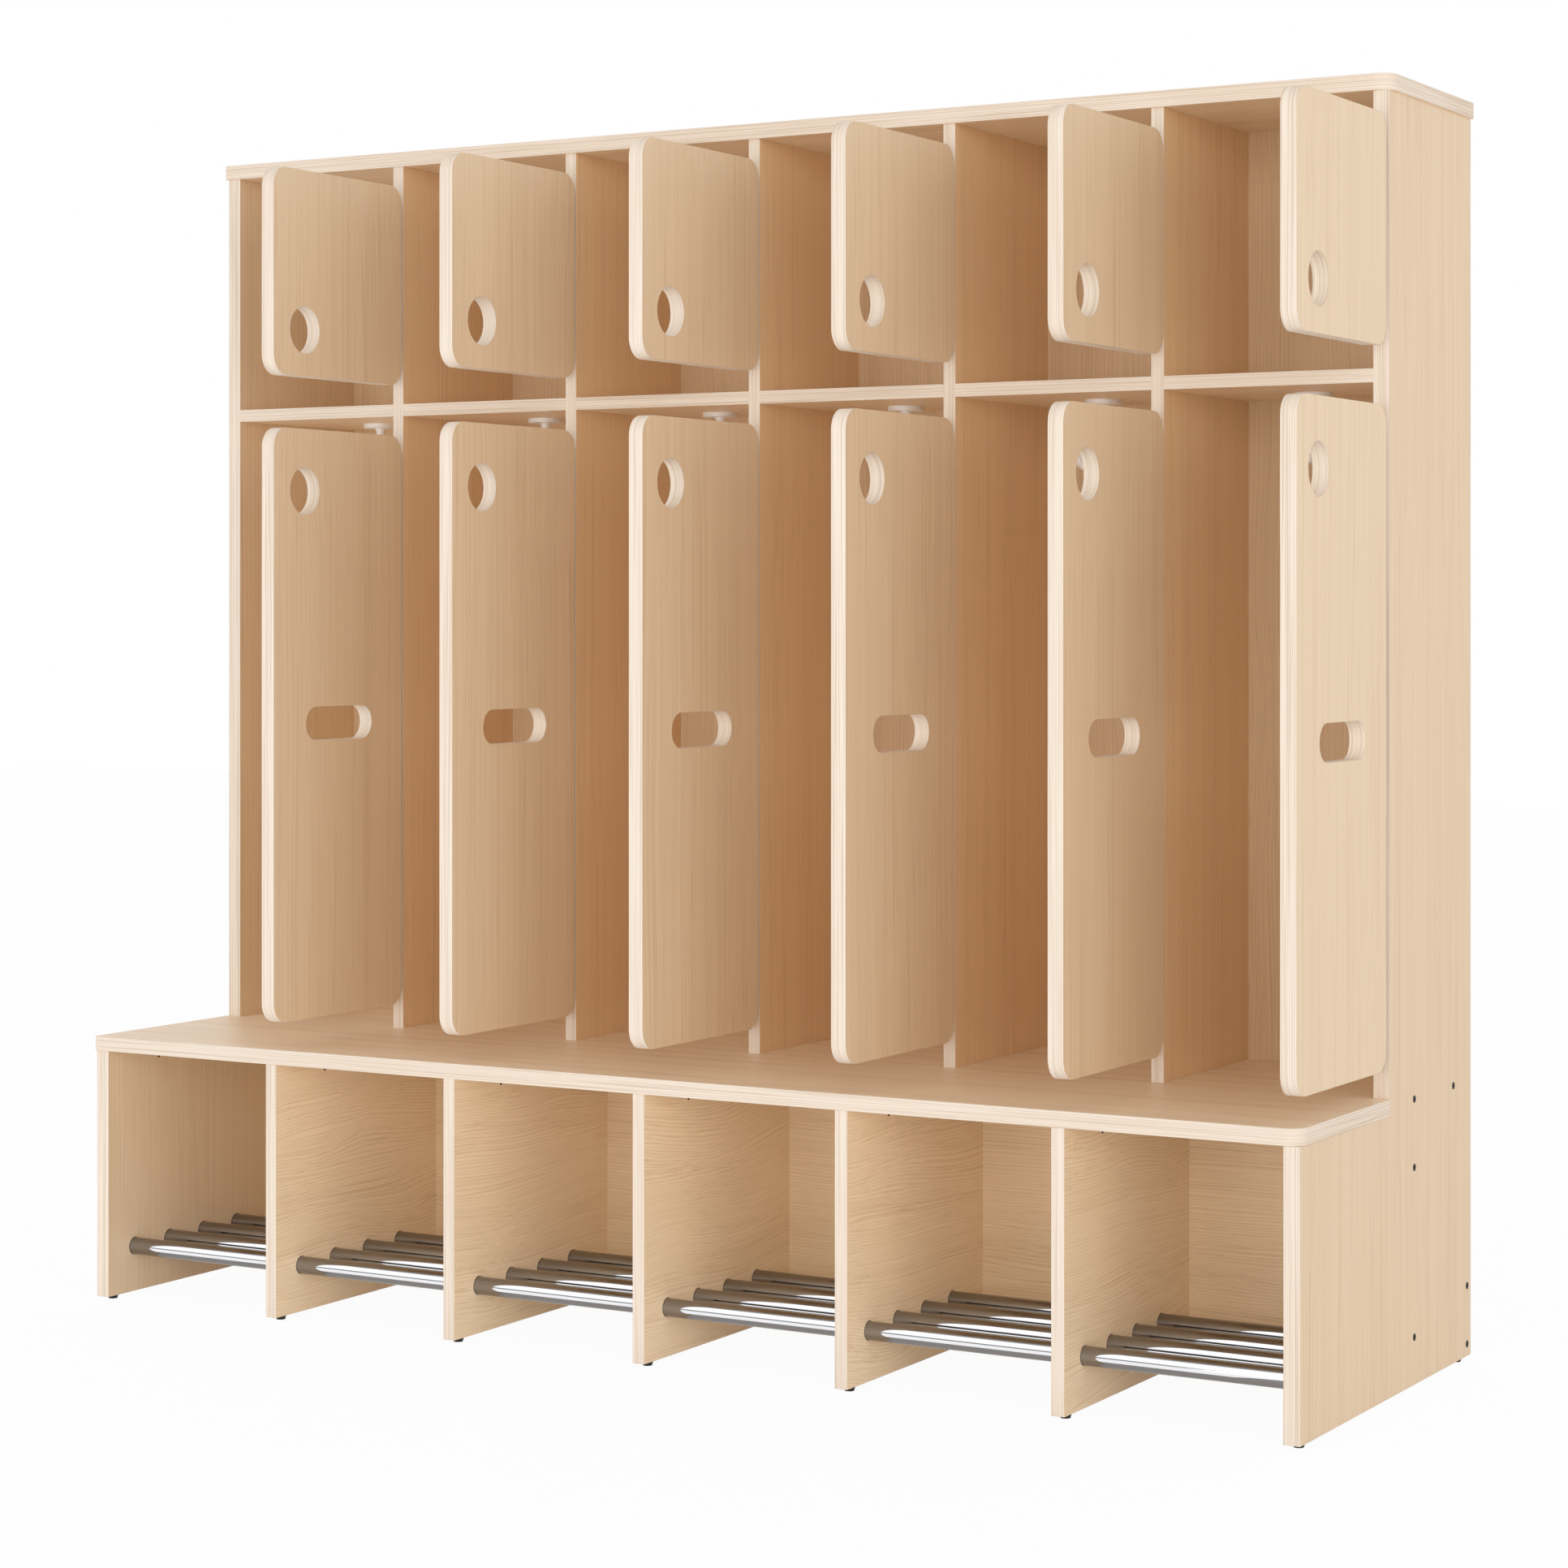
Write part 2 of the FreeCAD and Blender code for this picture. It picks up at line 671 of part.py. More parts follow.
def make_hook():
    """Head, neck and stem in one piece, with three flat J-shaped arms."""
    hook = new_body("hook", "0", "0", "0")
    head_foot = "-hook_play - hook_head_height"
    neck_foot = "-hook_base_height - hook_play"
    stretches = [
        ("hook_head_radius", "-hook_play", head_foot),
        ("hook_pin_radius", head_foot, neck_foot),
        ("hook_stem_radius", neck_foot, "-hook_stem_drop"),
    ]
    for radius, upper, lower in stretches:
        level = new_sketch(hook, "XY_Plane", lower)
        draw_peg(level, "0", "0", radius, PIN_SIDES)
        add_pad(hook, level, f"{upper} - ({lower})")

    arm = new_sketch(hook, "XZ_Plane")
    draw_outline(arm, arm_corners())
    pad = add_pad(hook, arm, "hook_arm_thickness", midplane=True)
    pattern = hook.newObject("PartDesign::PolarPattern", "hook_arms")
    pattern.Originals = [pad]
    pattern.Axis = (arm, ["V_Axis"])
    pattern.Occurrences = HOOK_ARMS
    hook.Tip = pattern
    doc.recompute()
    return hook


def arm_corners():
    """A J of even width whose upper end lies inside the stem."""
    start = HALF_TURN - amount("hook_bend_end")

    def around(radius, degrees):
        angle = math.radians(degrees)
        across, up = f"({radius})*({math.cos(angle):.6f})", f"({radius})*({math.sin(angle):.6f})"
        return (f"{across} - hook_bend_radius", f"{up} - hook_bend_drop")

    def bend(radius, end):
        return [around(radius, start + (end - start)*step/BEND_STEPS) for step in range(BEND_STEPS + 1)]
    outer = bend("hook_bend_radius + hook_arm_width/2", amount("hook_outer_end"))
    inner = bend("hook_bend_radius - hook_arm_width/2", amount("hook_inner_end"))
    root = ("-hook_root_setback", "-hook_bend_drop")
    tip = around("hook_bend_radius", start - amount("hook_tip_angle"))
    return outer + [root] + inner[::-1] + [tip]


def write_parts(nodes):
    doc.recompute()
    failed = [item.Label for item in doc.Objects if {"Invalid", "Error"} & set(item.State)]
    if failed:
        raise RuntimeError("failed: " + ", ".join(failed))
    for node in nodes:
        if node.Shape.isNull() or not node.Shape.isValid():
            raise RuntimeError("bad shape: " + node.Label)
    os.makedirs("parts", exist_ok=True)
    for node in nodes:
        node.Shape.exportStep(f"parts/{node.Label}.step")


nodes = [make_side_panel("side_panel_left", True), make_side_panel("side_panel_right", False)]
nodes += [make_top(), make_seat()]
nodes += [make_upper_partition(index) for index in range(1, BAYS)]
nodes += [make_bench_partition(index) for index in range(1, BAYS)]
nodes += [make_shelf(index) for index in range(1, BAYS + 1)]
nodes.append(make_cross_panel("upper_back_panel", "back_depth", "seat_height", "locker_height"))
nodes.append(make_cross_panel("bench_back_panel", "bench_back_setback", "0", "seat_under"))
nodes.append(make_cross_panel("rear_rail", "back_depth", "0", "rail_height"))
nodes += [make_tubes(), make_glides()]

cup = make_cup()
hinge_spots = []
door_kinds = [
    ("upper_door", "upper_door_foot", "upper_door_height", "upper_hole_rise", False),
    ("lower_door", "lower_door_foot", "lower_door_height", "lower_door_height - lower_hole_drop", True),
]
for kind, foot, height, hole_height, with_slot in door_kinds:
    for index in range(1, BAYS + 1):
        nodes.append(make_door(f"{kind}_{index}", index, foot, height, hole_height, with_slot))
        spots = [(upright_left(index), "front_line", f"{foot} + {z}") for z in hinge_heights(height)]
        cups = [copy_at("cup", cup, *where) for where in spots]
        nodes.append(gathered(f"{kind}_cups_{index}", cups))
        hinge_spots += spots

for label, original in (("hinge_arms", make_arm()), ("hinge_plates", make_plate())):
    nodes.append(gathered(label, [copy_at(label + "_copy", original, *where) for where in hinge_spots]))

base, hook = make_hook_base(), make_hook()
hook_spots = [
    (bay_middle(index), "front_line + hook_setback", "glide_height + shelf_height")
    for index in range(1, BAYS + 1)
]
nodes.append(gathered("hook_bases", [copy_at("base_copy", base, *where) for where in hook_spots]))
for index, where in enumerate(hook_spots, start=1):
    nodes.append(gathered(f"coat_hook_{index}", [copy_at("hook_copy", hook, *where)]))

write_parts(nodes)
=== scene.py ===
import math

import bmesh
import bpy
from mathutils import Matrix, Vector


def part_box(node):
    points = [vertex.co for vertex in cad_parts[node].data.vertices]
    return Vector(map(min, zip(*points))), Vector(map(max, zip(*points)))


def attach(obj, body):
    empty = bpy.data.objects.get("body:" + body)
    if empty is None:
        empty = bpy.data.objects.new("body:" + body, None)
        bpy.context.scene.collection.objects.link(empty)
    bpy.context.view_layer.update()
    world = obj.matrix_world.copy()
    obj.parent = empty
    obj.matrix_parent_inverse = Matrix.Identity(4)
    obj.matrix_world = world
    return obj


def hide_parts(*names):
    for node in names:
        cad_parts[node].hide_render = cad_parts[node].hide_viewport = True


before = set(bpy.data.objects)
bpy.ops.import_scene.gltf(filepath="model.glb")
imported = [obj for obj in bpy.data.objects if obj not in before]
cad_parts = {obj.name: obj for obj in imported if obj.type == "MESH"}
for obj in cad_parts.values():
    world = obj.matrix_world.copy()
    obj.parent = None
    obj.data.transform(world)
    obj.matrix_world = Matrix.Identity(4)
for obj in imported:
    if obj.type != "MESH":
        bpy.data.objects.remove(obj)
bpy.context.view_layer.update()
MM = 0.001
BAYS = 6
TUBE_ROWS = 4
HOOK_ARMS = 3
KINDS = ("upper_door", "lower_door")

# Photograph: its size, focal length, middle and horizon in pixels, and where it was taken from
PHOTO_SIDE = 1932
PHOTO_FOCAL = 4340
PHOTO_MIDDLE = 965.5
PHOTO_HORIZON = 758.4
CAMERA_PLACE = Vector((2225.5, -3775, 886.4))*MM
CAMERA_TURN = math.radians(30.05)
CAMERA_REACH = 100
SENSOR = 36

# Shoe tubes and floor glides, in millimetres; their places come from the frame
TUBE_RADIUS = 11
# The black ring round each tube is a painted shadow of the gap between tube and hole
HOLE_SHADOW_RING_RADIUS = 11.5
HOLE_SHADOW_RING_THICKNESS = 0.3
RIM_RADIUS = 12.6
RIM_THICKNESS = 0.06
GLIDE_FRONT = 20
GLIDE_REAR = 25
GLIDE_TOP_RADIUS = 7
GLIDE_FOOT_RADIUS = 5.6

# Swivel hooks, in millimetres; drops are measured from the underside of the shelf
HOOK_BASE_RADIUS = 23
HOOK_BASE_ROUND = 1.6
HOOK_STEM_RADIUS = 6
HOOK_FLARE_RADIUS = 8.7
HOOK_FLARE_HEIGHT = 4
HOOK_SUNK = 1
HOOK_STEM_DROP = 72
HOOK_BEND_RADIUS = 17.5
HOOK_BEND_DROP = 64.8
HOOK_ARM_WIDTH = 11
HOOK_ARM_THICKNESS = 9
HOOK_ARM_SQUARENESS = 3
HOOK_TOP_ANGLE = 360
HOOK_TIP_ANGLE = 147
HOOK_TIP_AREA = 0.0004

# Small fasteners: head radius, height, drive radius, drive depth, in millimetres
PANEL_SCREW = (4.3, 0.35, 1.9, 0.3)
CAM = (2.6, 0.35, 1.4, 0.3)
HINGE_SCREW = (3.5, 1.2, 1.5, 0.9)
ARM_SCREW = (3, 0.8, 1.3, 0.6)
HEAD_CHAMFER = 0.25

# Where the fasteners sit, in millimetres
BACK_SCREW_HEIGHTS = (54.5, 249)
RAIL_SCREW_MARGIN = 14.3
SEAT_SCREW_REAR = 214.3
CAM_DROP = 15.8
CAM_SETBACKS = (99.6, 289.6)
FLANGE_HALF = 27
ARM_LENGTH = 60
FLANGE_SCREW_OFFSET = 22
PLATE_SCREW_OFFSET = 16
ARM_SCREW_SETBACKS = (14, 46)

# How many steps round pieces are made of, and the angle in degrees from which an edge stays sharp
TURNED_STEPS = 48
HEAD_STEPS = 24
BASE_ROUND_STEPS = 4
STEM_ROUND_STEPS = 5
ARM_STEPS = 28
ARM_SIDES = 16
SHARP_ANGLE = 40


def rgb(red, green, blue):
    """A display colour from 0 to 255, turned into the linear values that shaders use."""
    def linear(value):
        share = value/255
        return share/12.92 if share <= 0.04045 else ((share + 0.055)/1.055)**2.4
    return (linear(red), linear(green), linear(blue), 1)


WHITE = (1, 1, 1, 1)

# Boards: the colour of the palest streak of each kind. The kinds are copies of one wood print: the
# locker partitions carry painted shade, and the lying boards and the boards under the seat carry
# painted light
OUTER_WOOD = rgb(234, 208, 176)
DOOR_WOOD = rgb(237, 212, 180)
# Locker partitions: darker and more saturated, painted shade of the lockers' insides
UPRIGHT_WOOD_PAINTED_SHADE = rgb(241, 206, 164)
BACK_WOOD = rgb(240, 212, 176)
# Lying boards: paler and brighter, painted light on the seat's top, shared by the top and the
# shelves
LYING_WOOD_PAINTED_LIGHT = rgb(255, 233, 205)
# Bench partitions, bench back and rear rail: brighter, painted light that lifts the shade in the
# bays under the seat
SHOE_WOOD_PAINTED_LIGHT = rgb(255, 230, 196)
CROSS_WOOD_PAINTED_LIGHT = rgb(254, 227, 190)

# Wood print: the width and length of each layer in millimetres, then its detail and roughness
DRIFT = (190, 420, 1, 0.5)
BROAD = (24, 1100, 2, 0.5)
STREAK = (3, 1400, 3, 0.65)
FINE = (1.2, 260, 2, 0.6)
FINE_SHARE = 0.25
STREAK_STOPS = (
    (0.34, rgb(237, 230, 220)), (0.48, rgb(251, 250, 248)), (0.6, rgb(255, 255, 255)),
)
RING_SPACING = 3.6
RING_WAVE = 6
RING_STOPS = ((0, WHITE), (0.45, WHITE), (0.88, rgb(239, 231, 220)), (1, WHITE))

# Board edges: uneven bands, with thin lines over them that follow the edge
BAND_SCALE_ALONG = 3
BAND_SCALE_THROUGH = 14
BAND_DETAIL = 2
BAND_ROUGHNESS = 0.7
BAND_STOPS = (
    (0.36, rgb(217, 198, 176)), (0.46, rgb(233, 217, 199)), (0.58, rgb(240, 226, 210)),
)
PLIES = 7
PLY_WAVE = 1.6
PLY_SHARE = 0.7
PLY_STOPS = ((0, WHITE), (0.62, WHITE), (0.84, rgb(238, 226, 212)), (1, WHITE))

# Gloss and relief of the boards; the bevel and the depth are in millimetres
FACE_ROUGHNESS = 0.5
SEAT_ROUGHNESS = 0.45
EDGE_ROUGHNESS = 0.8
STREAK_ROUGHNESS = -0.12
BOARD_SHINE = 0.5
SEAT_SHINE = 0.3
EDGE_BEVEL = 0.9
BEVEL_SAMPLES = 4
GRAIN_BUMP = 0.05
GRAIN_DEPTH = 0.2
FACE_LEAST = 0.9
BOARD_JUMPS = (7.3, 3.1, 5.7)

# Metals and plastics
CHROME = rgb(147, 146, 146)
STEEL = rgb(196, 194, 190)
BLACK = rgb(20, 20, 21)
DARK_ZINC = rgb(48, 44, 41)
HOOK_WHITE = rgb(248, 246, 243)
SMEAR_SCALE = 20
SMEAR_DETAIL = 3
SMEAR = 0.06
BRUSHED_SMEAR = 0.16
PLASTIC_GRAIN = 0.6
PLASTIC_BUMP = 0.08
PLASTIC_DEPTH = 0.1

# Floor, in metres: half its side and how far it lies below the glides
FLOOR_HALF = 12
FLOOR_DROP = 0.0002
FLOOR_COLOUR = rgb(250, 250, 250)
FLOOR_ROUGHNESS = 0.8
FLOOR_SEEN_WHITE = 0.95
FLOOR_REFLECTED_WHITE = 0.4

# Light: the sky's strength, then each lamp's place, the side of its square, and how much of a
# plain white's light it gives where it aims
SKY = 0.75
AIM = Vector((0, 0, 0.5))
LAMPS = {
    "key": (Vector((5.1, -8.6, 1.4)), 5, 0.22),
    "side_fill": (Vector((8.2, -4.7, 1.4)), 4, 0.13),
    "low_fill": (Vector((-1.5, -8, 0.5)), 2, 0.1),
}
# Bright cards that only gloss shows: place, where it faces, width, height and brightness
CARDS = {
    "front_card": (Vector((-1, -1.34, 0.94)), Vector((0, 0.73, -0.68)), 2.9, 1.39, 2.6),
    "floor_card": (Vector((-1.9, -1.65, 0.004)), Vector((0, 0, 1)), 5.2, 2.7, 2.3),
}
CARD_COLOUR = (0.93, 0.96, 1)


class Nodes:
    """Short hand for building one node tree."""

    def __init__(self, tree):
        self.tree = tree
        tree.nodes.clear()

    def add(self, kind, inputs=None, **settings):
        node = self.tree.nodes.new(kind)
        for name, value in settings.items():
            setattr(node, name, value)
        for name, value in (inputs or {}).items():
            self.feed(node.inputs[name], value)
        return node

    def feed(self, socket, value):
        if isinstance(value, bpy.types.NodeSocket):
            self.tree.links.new(value, socket)
        else:
            socket.default_value = value

    def math(self, operation, first, second=0, clamp=False):
        inputs = {0: first, 1: second}
        node = self.add("ShaderNodeMath", inputs, operation=operation, use_clamp=clamp)
        return node.outputs[0]

    def weighted(self, first, share, rest):
        """first times share, plus rest."""
        return self.math("ADD", self.math("MULTIPLY", first, share), rest)

    def vector(self, operation, first, second):
        node = self.add("ShaderNodeVectorMath", {0: first, 1: second}, operation=operation)
        return node.outputs[0]

    def part(self, vector, axis):
        """One axis of a vector."""
        return self.add("ShaderNodeSeparateXYZ", {0: vector}).outputs[AXES[axis]]

    def ramp(self, factor, stops):
        node = self.add("ShaderNodeValToRGB", {"Fac": factor})
        marks = node.color_ramp.elements
        while len(marks) < len(stops):
            marks.new(1)
        for mark, (position, color) in zip(marks, stops):
            mark.position = position
            mark.color = color
        return node.outputs["Color"]

    def mix(self, factor, first, second, blend="MIX"):
        node = self.add("ShaderNodeMix", data_type="RGBA", blend_type=blend)
        for index, value in ((0, factor), (6, first), (7, second)):
            self.feed(node.inputs[index], value)
        return node.outputs[2]

    def mix_values(self, factor, first, second):
        inputs = {0: factor, 2: first, 3: second}
        return self.add("ShaderNodeMix", inputs, data_type="FLOAT").outputs[0]

    def noise(self, vector, detail=2, roughness=0.5, output="Fac"):
        inputs = {"Vector": vector, "Scale": 1, "Detail": detail, "Roughness": roughness}
        return self.add("ShaderNodeTexNoise", inputs).outputs[output]


def new_material(name):
    material = bpy.data.materials.new(name)
    material.use_nodes = True
    nodes = Nodes(material.node_tree)
    surface = nodes.add("ShaderNodeBsdfPrincipled")
    output = nodes.add("ShaderNodeOutputMaterial")
    nodes.feed(output.inputs["Surface"], surface.outputs["BSDF"])
    return material, nodes, surface


AXES = {"x": 0, "y": 1, "z": 2}


def layer(nodes, place, along, kind, output="Fac"):
    """Noise that is stretched along the grain to the width and length of its kind."""
    across_mm, along_mm, detail, roughness = kind
    scale = [1/(across_mm*MM)]*3
    scale[AXES[along]] = 1/(along_mm*MM)
    return nodes.noise(nodes.vector("MULTIPLY", place, scale), detail, roughness, output)


def grain(nodes, place, across, along, figure):
    """Streaks and growth rings that run with the grain and wander across it."""
    drift = nodes.vector("SUBTRACT", layer(nodes, place, along, DRIFT, "Color"), (0.5, 0.5, 0.5))
    sideways = [figure["wander"]*MM]*3
    sideways[AXES[along]] = 0
    place = nodes.vector("ADD", place, nodes.vector("MULTIPLY", drift, sideways))

    broad = layer(nodes, place, along, BROAD)
    streak = layer(nodes, place, along, STREAK)
    fine = layer(nodes, place, along, FINE)
    bold = figure["bold"]
    streaks = nodes.math("MULTIPLY", streak, 1 - FINE_SHARE - bold)
    pattern = nodes.weighted(fine, FINE_SHARE, nodes.weighted(broad, bold, streaks))
    tone = nodes.ramp(pattern, STREAK_STOPS)

    wave = nodes.math("MULTIPLY", broad, RING_WAVE)
    count = nodes.weighted(nodes.part(place, across), 1/(RING_SPACING*MM), wave)
    ring = nodes.ramp(nodes.math("FRACT", count), RING_STOPS)
    return nodes.mix(figure["rings"], tone, ring, "MULTIPLY"), pattern


def plies(nodes, place, generated, through):
    """Layered board edge: thin lines that follow the edge, a little uneven."""
    level = nodes.part(generated, through)
    apart = [BAND_SCALE_ALONG]*3
    apart[AXES[through]] = 0
    slow = nodes.vector("MULTIPLY", place, apart)
    height = nodes.math("MULTIPLY", level, BAND_SCALE_THROUGH)
    lift = nodes.add("ShaderNodeCombineXYZ", {through.upper(): height}).outputs[0]
    bands = nodes.noise(nodes.vector("ADD", slow, lift), BAND_DETAIL, BAND_ROUGHNESS)
    tone = nodes.ramp(bands, BAND_STOPS)
    count = nodes.weighted(level, PLIES, nodes.math("MULTIPLY", bands, PLY_WAVE))
    line = nodes.ramp(nodes.math("FRACT", count), PLY_STOPS)
    return nodes.mix(PLY_SHARE, tone, line, "MULTIPLY")


def laminate(name, colour, axes, figure, roughness=FACE_ROUGHNESS, shine=BOARD_SHINE):
    """Wood-print board with layered edges; axes go through it, across its grain and along it."""
    through, across, along = axes
    material, nodes, surface = new_material(name)
    coordinates = nodes.add("ShaderNodeTexCoord")
    chance = nodes.add("ShaderNodeObjectInfo").outputs["Random"]
    jumps = {
        axis: nodes.math("MULTIPLY", chance, jump) for axis, jump in zip("XYZ", BOARD_JUMPS)
    }
    jump = nodes.add("ShaderNodeCombineXYZ", jumps).outputs[0]
    place = nodes.vector("ADD", coordinates.outputs["Object"], jump)
    streaks, pattern = grain(nodes, place, across, along, figure)
    face = nodes.mix(1, streaks, colour, "MULTIPLY")
    band = plies(nodes, place, coordinates.outputs["Generated"], through)
    facing = nodes.math("ABSOLUTE", nodes.part(coordinates.outputs["Normal"], through))
    is_face = nodes.math("GREATER_THAN", facing, FACE_LEAST)
    nodes.feed(surface.inputs["Base Color"], nodes.mix(is_face, band, face))
    rough = nodes.weighted(pattern, STREAK_ROUGHNESS, roughness)
    rough = nodes.mix_values(is_face, EDGE_ROUGHNESS, rough)
    nodes.feed(surface.inputs["Roughness"], rough)
    surface.inputs["Specular IOR Level"].default_value = shine
    radius = {"Radius": EDGE_BEVEL*MM}
    bevel = nodes.add("ShaderNodeBevel", radius, samples=BEVEL_SAMPLES).outputs[0]
    bump = nodes.add("ShaderNodeBump", {
        "Strength": GRAIN_BUMP, "Distance": GRAIN_DEPTH*MM, "Height": pattern, "Normal": bevel,
    }).outputs[0]
    nodes.feed(surface.inputs["Normal"], bump)
    return material


def metal(name, colour, roughness, smear=SMEAR):
    material, nodes, surface = new_material(name)
    place = nodes.add("ShaderNodeTexCoord").outputs["Object"]
    patches = nodes.noise(nodes.vector("MULTIPLY", place, [SMEAR_SCALE]*3), SMEAR_DETAIL)
    change = nodes.math("MULTIPLY", nodes.math("SUBTRACT", patches, 0.5), smear)
    surface.inputs["Base Color"].default_value = colour
    surface.inputs["Metallic"].default_value = 1
    nodes.feed(surface.inputs["Roughness"], nodes.math("ADD", change, roughness, True))
    return material


def plastic(name, colour, roughness):
    material, nodes, surface = new_material(name)
    place = nodes.add("ShaderNodeTexCoord").outputs["Object"]
    fine = nodes.noise(nodes.vector("MULTIPLY", place, [1/(PLASTIC_GRAIN*MM)]*3))
    surface.inputs["Base Color"].default_value = colour
    surface.inputs["Roughness"].default_value = roughness
    bump = nodes.add("ShaderNodeBump", {
        "Strength": PLASTIC_BUMP, "Distance": PLASTIC_DEPTH*MM, "Height": fine,
    }).outputs[0]
    nodes.feed(surface.inputs["Normal"], bump)
    return material


# How far the grain wanders, in mm, how much of it is broad streaks and how strongly its rings show
STRAIGHT = {"wander": 14, "bold": 0.2, "rings": 0.5}
FLOWING = {"wander": 60, "bold": 0.55, "rings": 0.6}
CURLED = {"wander": 40, "bold": 0.25, "rings": 0.8}
ARCHED = {"wander": 85, "bold": 0.25, "rings": 0.8}

# The upright, lying, shoe-bay and cross kinds carry painted light and shade in their colour
# Each kind of board: its colour, then the axes through it, across its grain and along its grain
outer_wood = laminate("laminate_outer", OUTER_WOOD, "xyz", STRAIGHT)
door_wood = laminate("laminate_door", DOOR_WOOD, "xyz", STRAIGHT)
upright_wood_painted_shade = laminate("laminate_upright_painted_shade", UPRIGHT_WOOD_PAINTED_SHADE, "xyz", STRAIGHT)
back_wood = laminate("laminate_back", BACK_WOOD, "yxz", CURLED)
lying_wood_painted_light = laminate(
    "laminate_lying_painted_light", LYING_WOOD_PAINTED_LIGHT, "zyx", FLOWING, SEAT_ROUGHNESS, SEAT_SHINE,
)
cross_wood_painted_light = laminate("laminate_cross_painted_light", CROSS_WOOD_PAINTED_LIGHT, "yzx", CURLED)
shoe_wood_painted_light = laminate("laminate_shoe_bay_painted_light", SHOE_WOOD_PAINTED_LIGHT, "xzy", ARCHED)
nickel = metal("nickel", STEEL, 0.26, BRUSHED_SMEAR)
chrome = metal("chrome", CHROME, 0.06)
black_steel = metal("black_steel", BLACK, 0.4)
dark_zinc = metal("dark_zinc", DARK_ZINC, 0.45, BRUSHED_SMEAR)
black_plastic = plastic("black_plastic", BLACK, 0.45)
white_plastic = plastic("white_plastic", HOOK_WHITE, 0.4)

# The first beginning that a node's name has gives its material
MATERIALS = [
    ("shoe_tubes", chrome),
    ("hinge_arms", nickel),
    ("hinge_plates", nickel),
    ("floor_glides", black_plastic),
    ("hook_bases", white_plastic),
    ("upper_back_panel", back_wood),
    ("bench_back_panel", cross_wood_painted_light),
    ("rear_rail", cross_wood_painted_light),
    ("seat_panel", lying_wood_painted_light),
    ("top_panel", lying_wood_painted_light),
    ("shelf_", lying_wood_painted_light),
    ("bench_partition_", shoe_wood_painted_light),
    ("upper_door_cups_", nickel),
    ("lower_door_cups_", nickel),
    ("coat_hook_", white_plastic),
    ("upper_partition_", upright_wood_painted_shade),
    ("upper_door_", door_wood),
    ("lower_door_", door_wood),
    ("side_panel_", outer_wood),
]

for name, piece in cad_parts.items():
    material = next(material for start, material in MATERIALS if name.startswith(start))
    piece.data.materials.clear()
    piece.data.materials.append(material)


# Shapes that are turned about an axis, in metres

ONTO_X = Matrix.Rotation(math.radians(90), 4, "Y")
ONTO_MINUS_X = Matrix.Rotation(math.radians(-90), 4, "Y")


def add_turned(shape, profile, place, steps=TURNED_STEPS):
    """Adds the profile of radius and height, turned about the place's own Z axis."""
    turns = [2*math.pi*step/steps for step in range(steps)]
    rings = []
    for radius, height in profile:
        if radius == 0:
            rings.append([shape.verts.new(place @ Vector((0, 0, height)))])
            continue
        spots = [
            Vector((radius*math.cos(turn), radius*math.sin(turn), height)) for turn in turns
        ]
        rings.append([shape.verts.new(place @ spot) for spot in spots])
    for one, two in zip(rings, rings[1:]):
        for step in range(steps):
            following = (step + 1) % steps
            corners = [one[step % len(one)], one[following % len(one)]]
            corners += [two[following % len(two)], two[step % len(two)]]
            shape.faces.new(list(dict.fromkeys(corners)))


def finished(name, shape, material, body, replaced=()):
    """Turns the shape into a piece that rides on a body."""
    bmesh.ops.recalc_face_normals(shape, faces=shape.faces)
    mesh = bpy.data.meshes.new(name)
    shape.to_mesh(mesh)
    shape.free()
    for polygon in mesh.polygons:
        polygon.use_smooth = True
    mesh.set_sharp_from_angle(angle=math.radians(SHARP_ANGLE))
    mesh.materials.append(material)
    piece = bpy.data.objects.new(name, mesh)
    bpy.context.collection.objects.link(piece)
    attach(piece, body)
    if replaced:
        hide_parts(*replaced)


def at(x, y, z, turn=None):
    spot = Matrix.Translation(Vector((x, y, z)))
    return spot @ turn if turn else spot


def low(node):
    return Vector(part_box(node)[0])


def high(node):
    return Vector(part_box(node)[1])


def middle(node):
    return (low(node) + high(node))/2


# Shoe rack: smooth tubes, with thin black rings of painted shadow where they pass through the boards

def tube_lines():
    """Depths of the tube axes, from the first and last tube of the node."""
    first = low("shoe_tubes").y
    last = high("shoe_tubes").y
    half = (high("shoe_tubes").z - low("shoe_tubes").z)/2
    pitch = (last - first - 2*half)/(TUBE_ROWS - 1)
    return [first + half + row*pitch for row in range(TUBE_ROWS)]


def build_tubes():
    shape = bmesh.new()
    start, end = low("shoe_tubes").x, high("shoe_tubes").x
    height = middle("shoe_tubes").z
    radius, length = TUBE_RADIUS*MM, end - start
    profile = [(0, 0), (radius, 0), (radius, length), (0, length)]
    for line in tube_lines():
        add_turned(shape, profile, at(start, line, height, ONTO_X))
    finished("smooth_tubes", shape, chrome, "bench_frame", ["shoe_tubes"])


def side_faces():
    """Faces of the side panels that the tubes come out of, and which way they look."""
    return [(high("side_panel_left").x, ONTO_X), (low("side_panel_right").x, ONTO_MINUS_X)]


def partition_faces():
    """Both faces of each low partition, and which way they look."""
    faces = []
    for index in range(1, BAYS):
        faces.append((low(f"bench_partition_{index}").x, ONTO_MINUS_X))
        faces.append((high(f"bench_partition_{index}").x, ONTO_X))
    return faces


def rings_round_tubes(name, faces, outer, thickness, material, slot):
    """A flat ring round each tube on each of the faces."""
    shape = bmesh.new()
    height = middle("shoe_tubes").z
    inner, outer, thickness = TUBE_RADIUS*MM, outer*MM, thickness*MM
    profile = [(inner, 0), (inner, thickness), (outer, thickness), (outer, 0)]
    for face, turn in faces:
        for line in tube_lines():
            add_turned(shape, profile, at(face, line, height, turn))
    finished(name, shape, material, "bench_frame")


